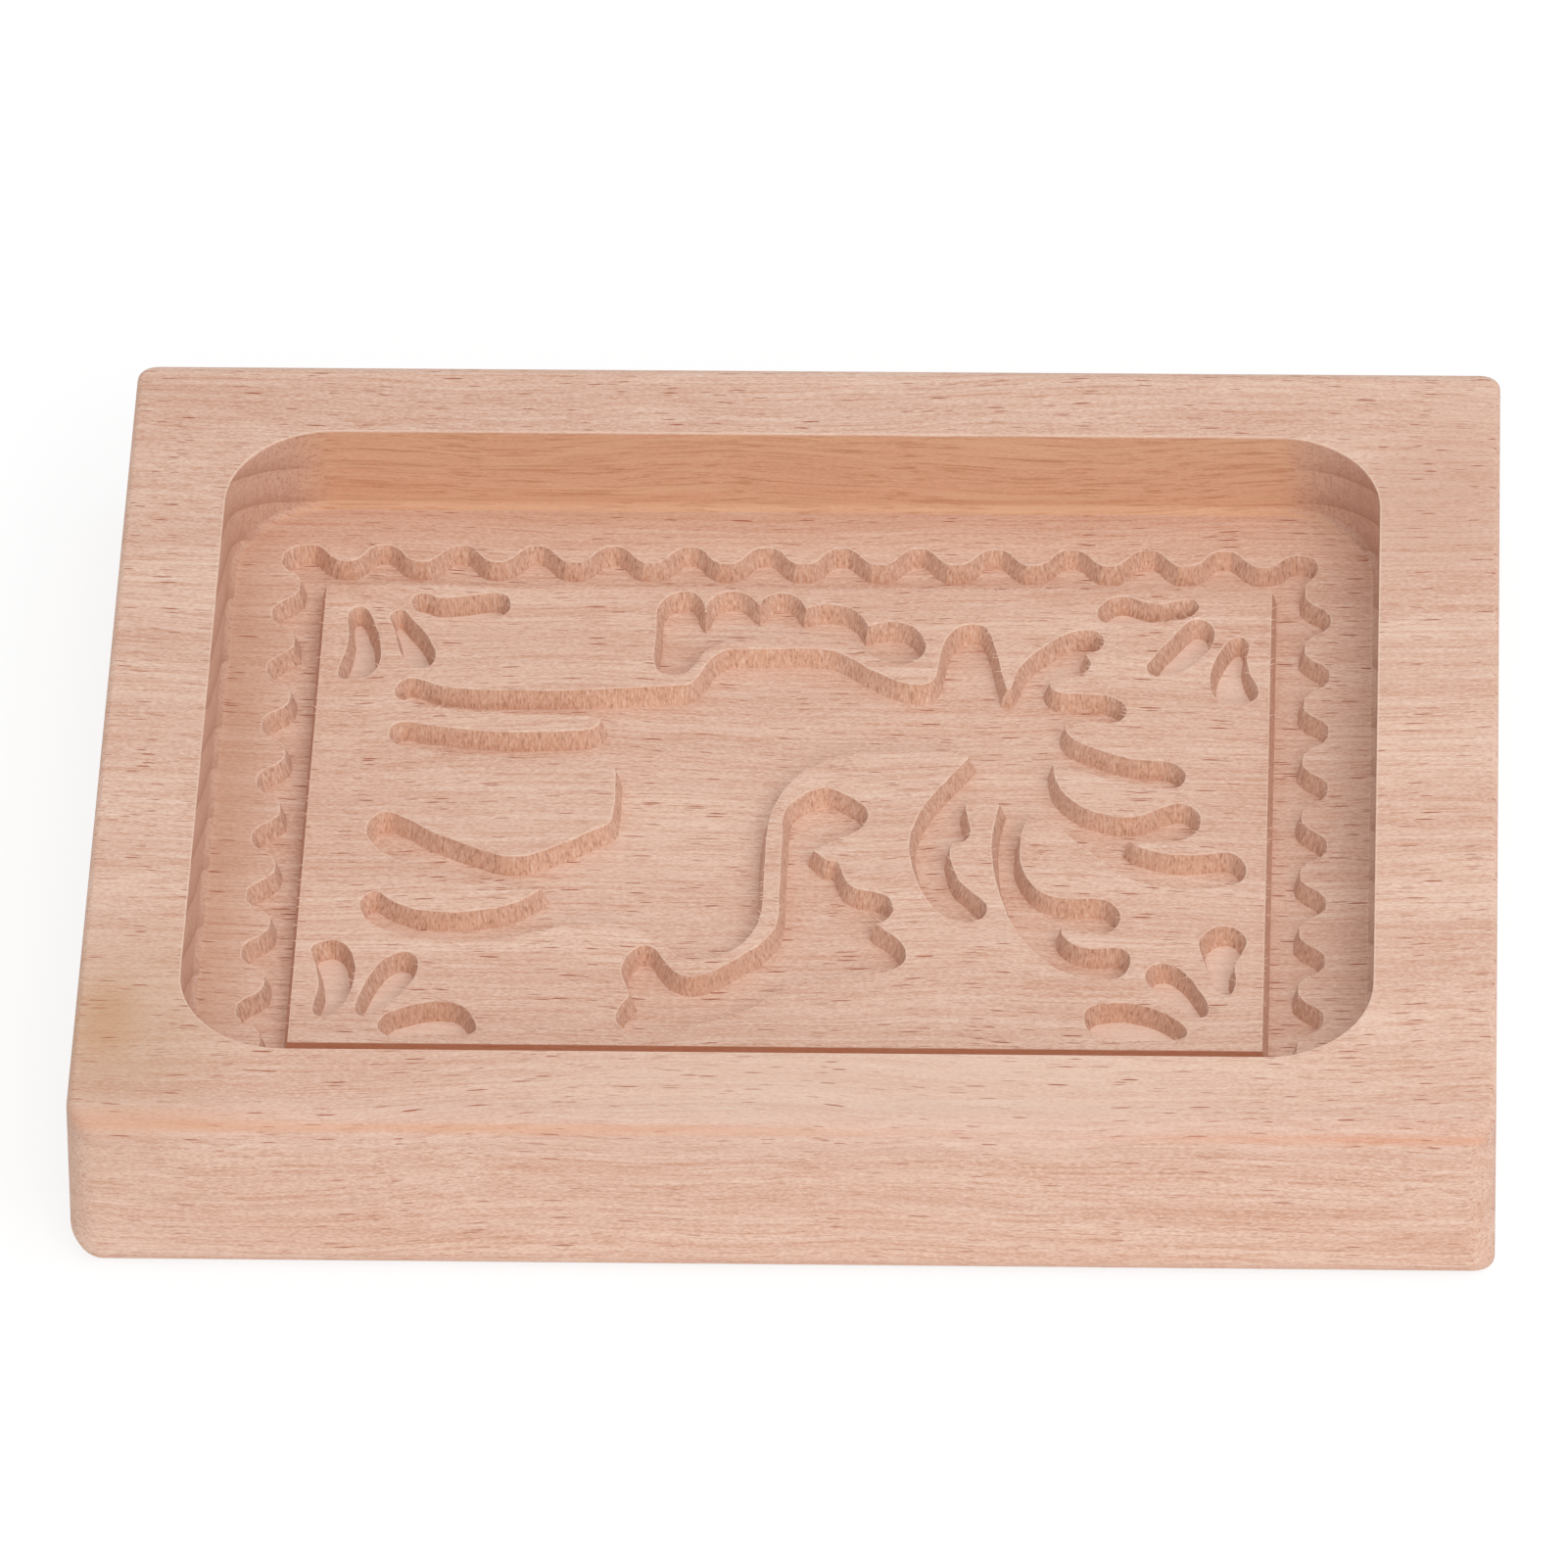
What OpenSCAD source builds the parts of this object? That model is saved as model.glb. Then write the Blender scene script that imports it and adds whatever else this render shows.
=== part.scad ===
// Carved beech mould for figure biscuits: a solid board with rounded edges, a sunken tray in its
// top face, a scalloped channel around the tray floor and a folk animal with corner leaves inside it.
// Millimetres. Origin in the middle of the underside, X along the board, Y across it, Z up.

/* [Board] */
// length of the board, along the grain
board_length = 150; // [120:1:200]
// width of the board, across the grain
board_width = 120; // [100:1:160]
// thickness of the board
board_height = 22; // [18:0.5:30]
// radius of the four upright corners
corner_round = 3.4; // [3:0.1:8]
// radius of the long edges, above and below
edge_round = 3.1; // [1:0.1:3.3]

/* [Tray] */
// width of the rim at the left end
rim_left = 11.3; // [8:0.1:18]
// width of the rim at the right end
rim_right = 13; // [8:0.1:18]
// width of the rim at the near side
rim_near = 11.3; // [8:0.1:18]
// width of the rim at the far side
rim_far = 12.2; // [8:0.1:18]
// depth of the tray floor below the rim
tray_depth = 11; // [6:0.5:13]
// radius of the tray corners, the radius of the cutter that sinks it
tray_corner = 11.3; // [6:0.1:16]
// small radius along the foot of the tray walls
tray_foot = 1; // [0.4:0.1:2]

/* [Carving] */
// depth of the carved channel and pockets below the tray floor
carve_depth = 2.4; // [1:0.1:3]
// lean of the carved walls from upright, in degrees
wall_lean = 15; // [5:1:16]
// plain ledge between the tray wall and the waves, at the ends
ledge_ends = 5.1; // [4:0.05:9]
// plain ledge between the tray wall and the waves, at the sides
ledge_sides = 6; // [4:0.05:10]
// height of the waves along the sides, from trough to crest
wave_sides = 2.6; // [1:0.1:3.4]
// height of the waves along the ends
wave_ends = 2.8; // [1:0.1:3.4]
// waves along each side
waves_long = 13; // [8:1:18]
// waves along each end
waves_short = 9; // [5:1:13]
// smoothing steps between two drawn points
steps = 3; // [1:1:4]

/* [Hidden] */
$fn = 48;
wood = "#cf9c79";
lean = tan(wall_lean);
over = 0.4; // how far a cut reaches above the surface that it starts from
tray_floor = board_height - tray_depth;
tray_x = [-board_length / 2 + rim_left, board_length / 2 - rim_right];
tray_y = [-board_width / 2 + rim_near, board_width / 2 - rim_far];
tray_mid = [(tray_x[0] + tray_x[1]) / 2, (tray_y[0] + tray_y[1]) / 2];
tray_size = [tray_x[1] - tray_x[0], tray_y[1] - tray_y[0]];

// Size of the border from crest to crest. The carving is drawn for a 150 x 120 board, and it is
// resized with the tray on any other.
border_size = [tray_size[0] - 2 * ledge_ends, tray_size[1] - 2 * ledge_sides];
drawn_size = [115.5, 84.5];

// The panel inside the channel, from the middle of the border: left, near, right, far.
panel = [-52, -35.8, 51.3, 35.7];

// The animal is drawn lying on its side, head towards the right end, feet towards the left end,
// as seen from above. Its outline runs clockwise in stretches, from the gap between the forelegs.
// Points with a third value are sharp tips of standing wood, the others are rounded over.
fore_leg_1 = [
    [-22.5, 14.1], [-28, 14.4], [-34, 14.7], [-39, 15.3], [-42.6, 16.2], [-44.4, 17.2],
    [-44.5, 18.8], [-43.4, 20.1], [-41.6, 19.8], [-39.5, 18.9], [-36, 18.4], [-30, 18.3],
    [-24, 18.5], [-18, 18.9], [-14.2, 19.3]
];
chest = [
    [-12.6, 19.6], [-11.5, 21.4], [-10.4, 23.7], [-8.4, 25.1], [-4, 25.2], [0, 25.3],
    [3, 24.9], [5, 23.6], [7.5, 21.7], [10, 20.2], [12.3, 19.6]
];
muzzle = [
    [13.8, 20.6], [14.3, 23], [14.7, 26.2], [15.8, 28.5], [17.4, 29.4], [19.1, 29], [20, 27],
    [20.8, 23.5], [21.7, 19.1, 1]
];
tines = [
    [22.2, 19.3], [23, 22.4], [24.5, 24.7], [26.2, 26.5], [28, 27.9], [30, 28.6], [31.5, 28.3],
    [32.2, 26.9], [31.7, 25.5], [30.3, 24.6, 1], [30.8, 23.3], [30.3, 21.9], [28.8, 21],
    [27.4, 20.6], [26.4, 20.1, 1], [26.8, 19.1], [28, 18.5], [30, 18.4], [32.4, 18.2],
    [34.2, 17.3], [34.9, 15.8], [34.4, 14.4], [33, 13.8], [30.6, 13.9], [28.3, 13.4, 1]
];
lock_1 = [
    [28.5, 12.4], [29.2, 11.2], [30.8, 10.2], [33, 9.2], [35, 8.4], [37, 8], [39, 7.9],
    [40.6, 7.2], [41.4, 5.8], [41, 4.2], [39.4, 3.5], [35, 4.4], [31.5, 5.6], [28.8, 6.8],
    [27.1, 7.2, 1]
];
lock_2 = [
    [27.3, 5.5], [27.8, 3.7], [29, 1.9], [30.6, 0.5], [32.4, -0.3], [34.2, -0.8], [36, -0.8],
    [37.6, -0.2], [39, 0.7], [40.6, 1.3], [42, 0.9], [43, -0.6], [43, -2.6], [41.6, -4.2],
    [38.6, -5], [35.5, -4.8, 1], [36.8, -5.6], [38.5, -6.3], [41, -6.7], [44, -6.5],
    [46.2, -6.3], [47.6, -7.3], [48.2, -9], [47.6, -10.8], [45, -11.8], [41, -12],
    [37, -11.2], [33.8, -9], [31, -6], [28.7, -3.6], [26.8, -1.4], [25.5, -0.3, 1]
];
lock_3 = [
    [24.6, -1.6], [24.1, -3], [23.9, -5], [23.9, -7.5], [24.5, -9.8], [25.6, -11.9],
    [27.2, -13.2], [29.5, -13.7], [32, -13.6], [33.8, -14.2], [34.8, -15.9], [34.6, -17.8],
    [33.2, -19], [30.6, -18.8], [28.6, -17.8, 1], [28.8, -19.2], [29.8, -20.5], [31.3, -21.2],
    [33, -21.3], [34.8, -21.1], [35.9, -22.1], [36, -24], [35, -25.6], [33, -26.2],
    [30.2, -25.6], [27.5, -23.8], [25, -20.8], [23.3, -17.5], [22.2, -14], [21.3, -10.5],
    [20.9, -7], [20.9, -3.5], [21.2, -0.8], [21.5, 0.8, 1]
];
lock_4 = [
    [19.1, 2.3, 1], [17.9, 0.8], [18.2, -1.6], [18.5, -3.8], [17.8, -5], [16.5, -5.2, 1],
    [16.4, -7], [16.8, -9], [17.6, -11], [18.9, -12.7], [20.1, -14], [20.6, -15.3],
    [20.1, -16.8], [18.6, -17.4], [16.5, -16.8], [14.8, -15.2], [13.5, -12.5], [12.6, -9.8],
    [12.1, -7], [12, -4.5], [12.5, -2], [13.3, 0.3], [14.4, 2.6], [15.6, 4.6], [17, 6.6],
    [18, 8.2, 1]
];
back = [
    [16, 8.9], [12, 9], [8, 8.9], [5, 8.5], [2.5, 7.5], [0.3, 5.8], [-1.3, 3.7], [-2.5, 1],
    [-3.2, -2], [-3.4, -6], [-3.4, -11], [-3.4, -15], [-3.8, -17.8], [-4.7, -20],
    [-6.3, -21.9], [-8.3, -23.2], [-10.3, -23.7], [-12, -23.1], [-13.4, -21.6],
    [-15.4, -19.9], [-18.5, -17.7]
];
hind_leg_2 = [
    [-21.5, -18.3], [-24.5, -18.5], [-27, -19.3], [-30.5, -20.5], [-34, -21], [-38, -20.9],
    [-41.5, -20.2], [-44.4, -18.8], [-46, -17.1], [-46.5, -15.3], [-46, -13.9], [-44.9, -13.4],
    [-43.8, -14.2], [-42.4, -15.3], [-40, -16.2], [-37, -16.5], [-34, -16.2], [-31, -15.4],
    [-28.8, -14.2], [-27.2, -12.8, 1]
];
hind_leg_1 = [
    [-29.5, -12.7], [-32, -12], [-36, -11], [-40, -9.8], [-43.3, -8.2], [-45.5, -6.2],
    [-46.4, -4.3], [-46.3, -2.7], [-45.4, -1.3], [-44, -1.1], [-42.7, -1.7], [-41, -2.9],
    [-39, -4.3], [-37, -5.3], [-34.8, -6.3], [-32.5, -7.4], [-30.5, -7.8], [-28.7, -7.6],
    [-27, -6.7], [-24, -4.9], [-21.8, -3.4]
];
belly = [[-20.3, -2.3], [-20, 0], [-20, 3], [-20.3, 6.3]];
fore_leg_2 = [
    [-22, 7], [-26, 7.2], [-31, 7.5], [-36, 8], [-40, 8.6], [-43.2, 9.2], [-44.6, 10.2],
    [-44.9, 11.6], [-44.2, 12.9], [-42.7, 13.2], [-40, 12.6], [-36, 12], [-31, 11.7],
    [-27, 11.8], [-22.9, 12.4]
];
tail = [
    [7.4, -0.7], [6.6, 0.9], [5, 2.2], [3.3, 3.2], [1.8, 3.2], [0.2, 2.1], [-1.2, 0.4],
    [-1.7, -2], [-1.7, -8], [-1.7, -13], [-1.6, -16], [-2, -18.5], [-3.2, -20.8], [-5, -22.5],
    [-7, -24.2], [-9, -25.7], [-10.8, -26.1], [-12.5, -25.2], [-13.7, -23.4], [-14.6, -21.9],
    [-15.8, -21.3], [-17, -22.1], [-17.9, -23.9], [-18, -25.7], [-17.5, -27.5], [-17, -29, 1],
    [-17.8, -30.4], [-18.4, -32], [-18, -33.5], [-16.8, -34.7], [-14, -34.8], [-10.5, -33.7],
    [-7, -32.4], [-4, -30.8], [-1.5, -28.5], [1, -26.9], [4.5, -26.3], [8, -25.6],
    [10.6, -24.9], [11.9, -23.6], [12.1, -21.8], [11.2, -20], [9.9, -18.8], [8.8, -17.9, 1],
    [10, -17], [10.6, -15.3], [10, -13.6], [8.4, -12.8], [6.4, -12.3], [5.5, -11.3],
    [4.9, -9.8], [4.3, -8.2], [3, -7.9], [1.8, -6.4, 1], [3.4, -5.4], [5.4, -4.2], [6.9, -2.6]
];
ruff = [
    [-16.7, 30.4], [-16.4, 32.2], [-15.5, 33.5], [-14.1, 34.2], [-12.7, 34], [-11.8, 32.7],
    [-11.4, 30.9, 1], [-11, 32.8], [-10, 34], [-8.4, 34.3], [-7, 33.9], [-6.2, 33],
    [-5.6, 32.1, 1], [-5, 33.3], [-3.9, 34], [-2.4, 34], [-1.2, 33.1], [-0.4, 31.7, 1],
    [1, 32.3], [2.7, 32.3], [4.3, 31.8], [5.5, 30.8], [6.4, 28.9, 1], [7.6, 29.5],
    [9.2, 29.7], [10.8, 29.2], [12.1, 27.9], [12.8, 26.2], [12.5, 24.4], [11.2, 23.1],
    [9.4, 22.9], [7.4, 23.9], [5, 25.8], [2.2, 26.9], [-2, 27.2], [-6, 26.9], [-9.2, 26.1],
    [-11.2, 24.6], [-12.2, 22.6], [-13.2, 21.2], [-15, 20.9], [-16.3, 21.9], [-16.7, 24],
    [-16.6, 27]
];
// Leaves in the corners of the panel, three in each.
leaves = [
    [[-50.4, 30], [-49.8, 31.2], [-48.8, 31.4], [-47.9, 30.2], [-47, 27.6], [-46.5, 25],
     [-46.6, 22.4], [-47.6, 20.4], [-49.2, 19.8], [-50.8, 20.2], [-51, 21.6], [-50.3, 24.2],
     [-50.1, 27]],
    [[-45.8, 29.8], [-45.2, 30.9], [-44.2, 30.8], [-43, 29.1], [-41.7, 27.1], [-40.7, 25],
     [-40.5, 22.9], [-41.6, 21.8], [-43.4, 22.4], [-44.5, 24.5], [-45, 27]],
    [[-43.6, 32.4], [-42.9, 33.7], [-41.7, 33.6], [-40.4, 33], [-38, 33.2], [-35.6, 33.7],
     [-33.7, 33.7], [-32.8, 32.6], [-33, 30.7], [-34.5, 29.6], [-37.5, 29.3], [-40.5, 29.8],
     [-42.9, 30.8]],
    [[-51.4, -22.4], [-50.4, -21.3], [-48.9, -20.9], [-47.5, -21.8], [-46.7, -23.8],
     [-46.4, -26.2], [-46.8, -29], [-47.8, -31.4], [-49.2, -32.7], [-50.5, -32.2],
     [-50.6, -30.6], [-50.2, -28], [-50.6, -25]],
    [[-46.1, -31], [-45.6, -28.7], [-44.8, -26.3], [-43.6, -24], [-42, -22.8], [-40.5, -22.9],
     [-39.8, -24.3], [-40.1, -26.6], [-41.4, -29], [-43, -31], [-44.7, -32.4], [-45.9, -32.2]],
    [[-43.6, -33.7], [-42.9, -32.2], [-41.2, -31.2], [-38.8, -30.4], [-36.3, -30.2],
     [-34.6, -31], [-33.5, -32.7], [-33.1, -34.3], [-34.2, -35.3], [-37.2, -35.2],
     [-40.4, -35.5], [-42.8, -35.3]],
    [[31.3, 31.2], [31.8, 32.7], [33, 33.8], [34.6, 34], [36.4, 33.2], [38.2, 32.8],
     [40, 33.3], [41.6, 33.6], [42.4, 32.5], [41.6, 30.9], [39.6, 30.1], [36.4, 29.7],
     [33.4, 29.5], [31.8, 30]],
    [[36.9, 22.8], [37.6, 24.4], [39, 26.6], [40.3, 28.7], [41.6, 30.2], [43, 30.3],
     [44, 29.2], [44.1, 27.2], [43.3, 25], [41.8, 23], [39.7, 21.6], [37.6, 21.3]],
    [[43.8, 20.2], [43.9, 22.2], [44.6, 24.9], [45.8, 27.1], [47.1, 27.6], [47.9, 26.4],
     [47.7, 23.8], [48.1, 21.6], [49, 19.6], [48.8, 17.9], [47.4, 17], [45.6, 16.9],
     [44.3, 18.2]],
    [[43.3, -20.4], [43.8, -19], [45, -17.9], [46.5, -17.7], [47.8, -18.6], [48.4, -20.2],
     [47.8, -22], [47.2, -23.8], [47.4, -26.2], [46.8, -28], [45.5, -27.8], [44.6, -25.6],
     [43.9, -23]],
    [[37.7, -25], [38.4, -23.8], [39.9, -23.5], [41.4, -24.3], [42.7, -26.1], [43.7, -28],
     [44.5, -30], [44.2, -31.5], [42.7, -31.5], [41, -30.2], [39.4, -28.4], [38, -26.6]],
    [[31.3, -31.6], [31.9, -30.3], [33.5, -29.6], [35.6, -29.5], [37.9, -30.1], [40.2, -31.3],
     [42, -33], [42.2, -34.5], [40.6, -35.2], [37.4, -35.3], [34, -35.4], [32, -34]]
];

function unit(v) = v / max(norm(v), 0.001);
function around(p, i) = p[(i + len(p)) % len(p)];
function sharp(q) = len(q) > 2;

// A smooth curve from b to c, with a before b and d after c.
function curve(a, b, c, d, t) =
    0.5 * (2 * b + (c - a) * t + (2 * a - 5 * b + 4 * c - d) * t * t
    + (3 * b - a - 3 * c + d) * t * t * t);
function flat(q) = [q[0], q[1]];
function smooth(p, n) = [
    for (i = [0 : len(p) - 1])
        let (b = around(p, i), c = around(p, i + 1),
             a = sharp(b) ? b : around(p, i - 1), d = sharp(c) ? c : around(p, i + 2))
        for (k = [0 : n - 1]) curve(flat(a), flat(b), flat(c), flat(d), k / n)
];

// Twice the area inside an outline, and the outline turned anticlockwise.
function turn(p, i = 0) = i == len(p) ? 0 :
    p[i][0] * around(p, i + 1)[1] - p[i][1] * around(p, i + 1)[0] + turn(p, i + 1);
function anticlockwise(p) = turn(p) > 0 ? p : [for (i = [len(p) - 1 : -1 : 0]) p[i]];

// The outline moved inwards by d.
function inset(p, d) = [
    for (i = [0 : len(p) - 1])
        let (u = unit(p[i] - around(p, i - 1)), v = unit(around(p, i + 1) - p[i]),
             m = unit(u + v), c = max(norm(u + v) / 2, 0.8))
        p[i] + [-m[1], m[0]] * d / c
];

// A solid between the heights lo and hi whose walls lean in by s per millimetre of depth.
module leaning(outline, lo, hi, s) {
    p = anticlockwise(outline);
    n = len(p);
    low = inset(p, -lo * s);
    high = inset(p, -hi * s);
    polyhedron(
        points = concat([for (q = low) [q[0], q[1], lo]], [for (q = high) [q[0], q[1], hi]]),
        faces = concat([[for (i = [0 : n - 1]) i]], [[for (i = [n - 1 : -1 : 0]) n + i]],
            [for (i = [0 : n - 1]) [i, n + i, n + (i + 1) % n, (i + 1) % n]])
    );
}
module pocket(outline) leaning(smooth(outline, steps), -carve_depth, over, lean);

// One wave with flattened crests, from -1 to 1.
function wave(a) = (sin(a) + sin(3 * a) / 9) * 9 / 8;
// How far the crest at the end of a run is held back, t waves from that end.
function held(t, h) = t < 0.5 ? h * (1 + cos(360 * t)) / 2 : 0;
// A run of n waves from the point a to the point b, with crests towards out. Its first and last
// crests are held back by the shares h of a wave's height, where the corners are.
function wavy(a, b, n, out, h) = [
    for (i = [0 : 10 * n])
        let (t = i / 10)
            a + (b - a) * t / n
            + out * ((wave(90 + 360 * t) - 1) / 2 - held(t, h[0]) - held(n - t, h[1]))
];
// A quarter of an ellipse from the end of the run p to the start of the run q, about c.
function bend(p, q, c) = let (a = p[len(p) - 1] - c, b = q[0] - c)
    [for (t = [22.5 : 22.5 : 67.5]) c + a * cos(t) + b * sin(t)];
module channel() {
    x = drawn_size[0] / 2;
    y = drawn_size[1] / 2;
    cx = x - 3.4;
    far = y - 2.2;
    near = 2.4 - y;
    up = [0, wave_sides];
    along = [wave_ends, 0];
    far_run = wavy([-cx, y], [cx, y], waves_long, up, [0, 0.27]);
    right_run = wavy([x, far], [x, near], waves_short, along, [0.53, 0.53]);
    near_run = wavy([cx, -y], [-cx, -y], waves_long, -up, [0.27, 0]);
    left_run = wavy([-x, near], [-x, far], waves_short, -along, [0.23, 0.23]);
    outline = concat(
        far_run, bend(far_run, right_run, [cx, far]), right_run, bend(right_run, near_run, [cx, near]),
        near_run, bend(near_run, left_run, [-cx, near]), left_run, bend(left_run, far_run, [-cx, far])
    );
    difference() {
        leaning(outline, -carve_depth, over, lean);
        leaning([[panel[0], panel[1]], [panel[2], panel[1]], [panel[2], panel[3]],
            [panel[0], panel[3]]], -carve_depth - 0.5, 1, -lean);
    }
}

module animal() {
    pocket(concat(
        fore_leg_1, chest, muzzle, tines, lock_1, lock_2, lock_3, lock_4, back,
        hind_leg_2, hind_leg_1, belly, fore_leg_2
    ));
    pocket(tail);
    pocket(ruff);
}

module carving() {
    translate([tray_mid[0] - 0.15, tray_mid[1] - 0.35, tray_floor])
        resize([border_size[0] + 2 * over * lean, border_size[1] + 2 * over * lean, 0]) {
            channel();
            translate([1, 0.82, 0]) {
                animal();
                for (leaf = leaves) pocket(leaf);
            }
        }
}

// A bar's cross-section, w by h, with corners of radius r.
module section(w, h, r) {
    square([w - 2 * r, h], center = true);
    square([w, h - 2 * r], center = true);
    for (x = [-1, 1], y = [-1, 1]) translate([x * (w / 2 - r), y * (h / 2 - r)]) circle(r);
}

module board() {
    mid = board_height / 2;
    translate([0, 0, mid]) rotate([90, 0, 90])
        linear_extrude(board_length - 2 * corner_round, center = true)
            section(board_width, board_height, edge_round);
    translate([0, 0, mid]) rotate([90, 0, 0])
        linear_extrude(board_width - 2 * corner_round, center = true)
            section(board_length, board_height, edge_round);
    for (x = [-1, 1], y = [-1, 1])
        translate([x * (board_length / 2 - corner_round), y * (board_width / 2 - corner_round), mid])
            rotate_extrude() intersection() {
                section(2 * corner_round, board_height, edge_round);
                translate([0, -board_height]) square(2 * board_height);
            }
}

// Half of a cut's profile from its middle outwards: r to the wall, with a radius at the foot.
module tray_profile(r) {
    square([r - tray_foot, tray_depth + 1]);
    translate([0, tray_foot]) square([r, tray_depth + 1 - tray_foot]);
    translate([r - tray_foot, tray_foot]) circle(tray_foot);
}
module tray_cut(w) {
    tray_profile(w / 2);
    mirror([1, 0]) tray_profile(w / 2);
}
module tray() {
    translate([tray_mid[0], tray_mid[1], tray_floor]) {
        rotate([90, 0, 90]) linear_extrude(tray_size[0] - 2 * tray_corner, center = true)
            tray_cut(tray_size[1]);
        rotate([90, 0, 0]) linear_extrude(tray_size[1] - 2 * tray_corner, center = true)
            tray_cut(tray_size[0]);
        for (x = [-1, 1], y = [-1, 1])
            translate([x * (tray_size[0] / 2 - tray_corner), y * (tray_size[1] / 2 - tray_corner), 0])
                rotate_extrude() tray_profile(tray_corner);
    }
}

module mould() color(wood) difference() {
    board();
    tray();
    carving();
}

mould();
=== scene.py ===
# %% [markdown]
# A wooden cookie mould, carved from one block of beech.
# A shallow tray is sunk into the top of the block, and a scalloped border and
# a leaping stag among leaves are cut into the tray's floor. Dough is pressed
# in, and it lifts out with the picture standing proud.
# The solid model already has every form that the hand can feel. This lesson
# dresses it: it softens the cut edges, gives the block real wood all the way
# through, and lights it like a picture in a shop's catalogue.

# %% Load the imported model
import math
import bpy
import numpy as np
from mathutils import Matrix, Vector, noise
from mathutils.geometry import delaunay_2d_cdt
from mathutils.kdtree import KDTree


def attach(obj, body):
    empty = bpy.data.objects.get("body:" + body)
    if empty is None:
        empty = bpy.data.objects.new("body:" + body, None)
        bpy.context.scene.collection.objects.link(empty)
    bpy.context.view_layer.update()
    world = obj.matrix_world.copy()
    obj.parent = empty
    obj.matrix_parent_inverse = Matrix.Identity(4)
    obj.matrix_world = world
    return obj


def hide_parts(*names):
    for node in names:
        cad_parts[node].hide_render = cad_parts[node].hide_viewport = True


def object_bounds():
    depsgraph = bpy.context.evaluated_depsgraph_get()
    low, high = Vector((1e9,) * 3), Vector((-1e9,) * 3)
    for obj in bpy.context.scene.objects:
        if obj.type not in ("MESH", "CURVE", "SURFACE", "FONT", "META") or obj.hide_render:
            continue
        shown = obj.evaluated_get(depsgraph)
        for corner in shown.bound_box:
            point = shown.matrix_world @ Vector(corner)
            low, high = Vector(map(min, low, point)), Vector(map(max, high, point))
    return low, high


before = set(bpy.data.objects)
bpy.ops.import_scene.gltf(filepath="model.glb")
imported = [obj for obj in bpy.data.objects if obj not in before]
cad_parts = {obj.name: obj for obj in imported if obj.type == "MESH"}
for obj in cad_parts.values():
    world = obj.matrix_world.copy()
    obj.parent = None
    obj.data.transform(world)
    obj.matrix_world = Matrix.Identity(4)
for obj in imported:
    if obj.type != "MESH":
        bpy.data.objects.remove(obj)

cad_box = [list(corner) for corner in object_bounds()]
print("the block measures", [round(1000 * (hi - lo), 1) for lo, hi in zip(*cad_box)], "mm")

# %% [markdown]
# Three small helpers come first. Woodworkers think in millimetres and Blender
# in metres, so mm() turns one into the other. Colours are picked from the
# photograph as sRGB hex values, while Blender mixes light in linear values,
# so linear() does that sum. add_node() puts a node into a tree together with
# its settings and its links, which keeps a long material readable.

# %% Helpers
def mm(value):
    """Millimetres as Blender's metres."""
    return value / 1000.0


def linear(hex_colour):
    """An sRGB hex colour as the linear red, green, blue and alpha of a socket."""
    parts = [int(hex_colour[i:i + 2], 16) / 255 for i in (1, 3, 5)]
    return [c / 12.92 if c <= 0.04045 else ((c + 0.055) / 1.055) ** 2.4 for c in parts] + [1.0]


def add_node(tree, kind, settings=None, inputs=None):
    """Adds a node. An input is a plain value, or another node's output to link."""
    node = tree.nodes.new(kind)
    for name, value in (settings or {}).items():
        setattr(node, name, value)
    for name, value in (inputs or {}).items():
        if isinstance(value, bpy.types.NodeSocket):
            tree.links.new(value, node.inputs[name])
        else:
            node.inputs[name].default_value = value
    return node


print("beech pink", [round(c, 3) for c in linear("#dbb5a2")])

# %% [markdown]
# The picture was taken with a long lens from well above the table, so that
# lines which are parallel on the block stay nearly parallel in the picture.
# A camera in Blender looks along its own -Z, with +X to the right and +Y up.
# The three directions are worked out from the height angle, the small turn to
# the side and the small roll, and they become the columns of its matrix.

# %% Camera
picture_size = 1601                       # pixels on each side of the photograph
focal_pixels = 15799                      # the lens, in those pixels
centre_pixel = (816.3, 825.3)             # where the middle of the block lies
distance = mm(1664)
height_angle, side_turn, roll = (math.radians(a) for a in (43.379, -3.457, -1.918))

ahead = Vector((math.sin(side_turn) * math.cos(height_angle),
                math.cos(side_turn) * math.cos(height_angle), -math.sin(height_angle)))
level = Vector((math.cos(side_turn), -math.sin(side_turn), 0))
upward = level.cross(ahead)
camera_x = math.cos(roll) * level + math.sin(roll) * upward
camera_y = -math.sin(roll) * level + math.cos(roll) * upward

off_x, off_y = ((p - picture_size / 2) / focal_pixels * distance for p in centre_pixel)
block_middle = Vector((0, 0, mm(11)))
stand = block_middle - camera_x * off_x + camera_y * off_y - ahead * distance

lens = bpy.data.cameras.new("camera")
lens.sensor_width = 36
lens.lens = focal_pixels / picture_size * lens.sensor_width
lens.clip_end = 20
camera = bpy.data.objects.new("camera", lens)
camera.matrix_world = Matrix.Translation(stand) @ Matrix(
    (camera_x, camera_y, -ahead)).transposed().to_4x4()
bpy.context.scene.collection.objects.link(camera)
bpy.context.scene.camera = camera
print("the lens is", round(lens.lens), "mm long, and stands", round(stand.length, 2), "m away")

# %% [markdown]
# The block was photographed on pure white. Real white paper under a lamp is
# only pale grey, so more light is tempting, but it would bleach the wood.
# Light Path's Is Camera Ray is the better tool: the camera sees a white sky,
# while the wood is lit by a plain, soft one. Glossy and transmitted rays see
# the white too. The floor is matt paper: it has no gloss, so nothing mirrors
# in it and the block's shadow stays soft. It glows a little for the camera,
# weakly enough to keep that shadow where the block meets the table.

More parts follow.
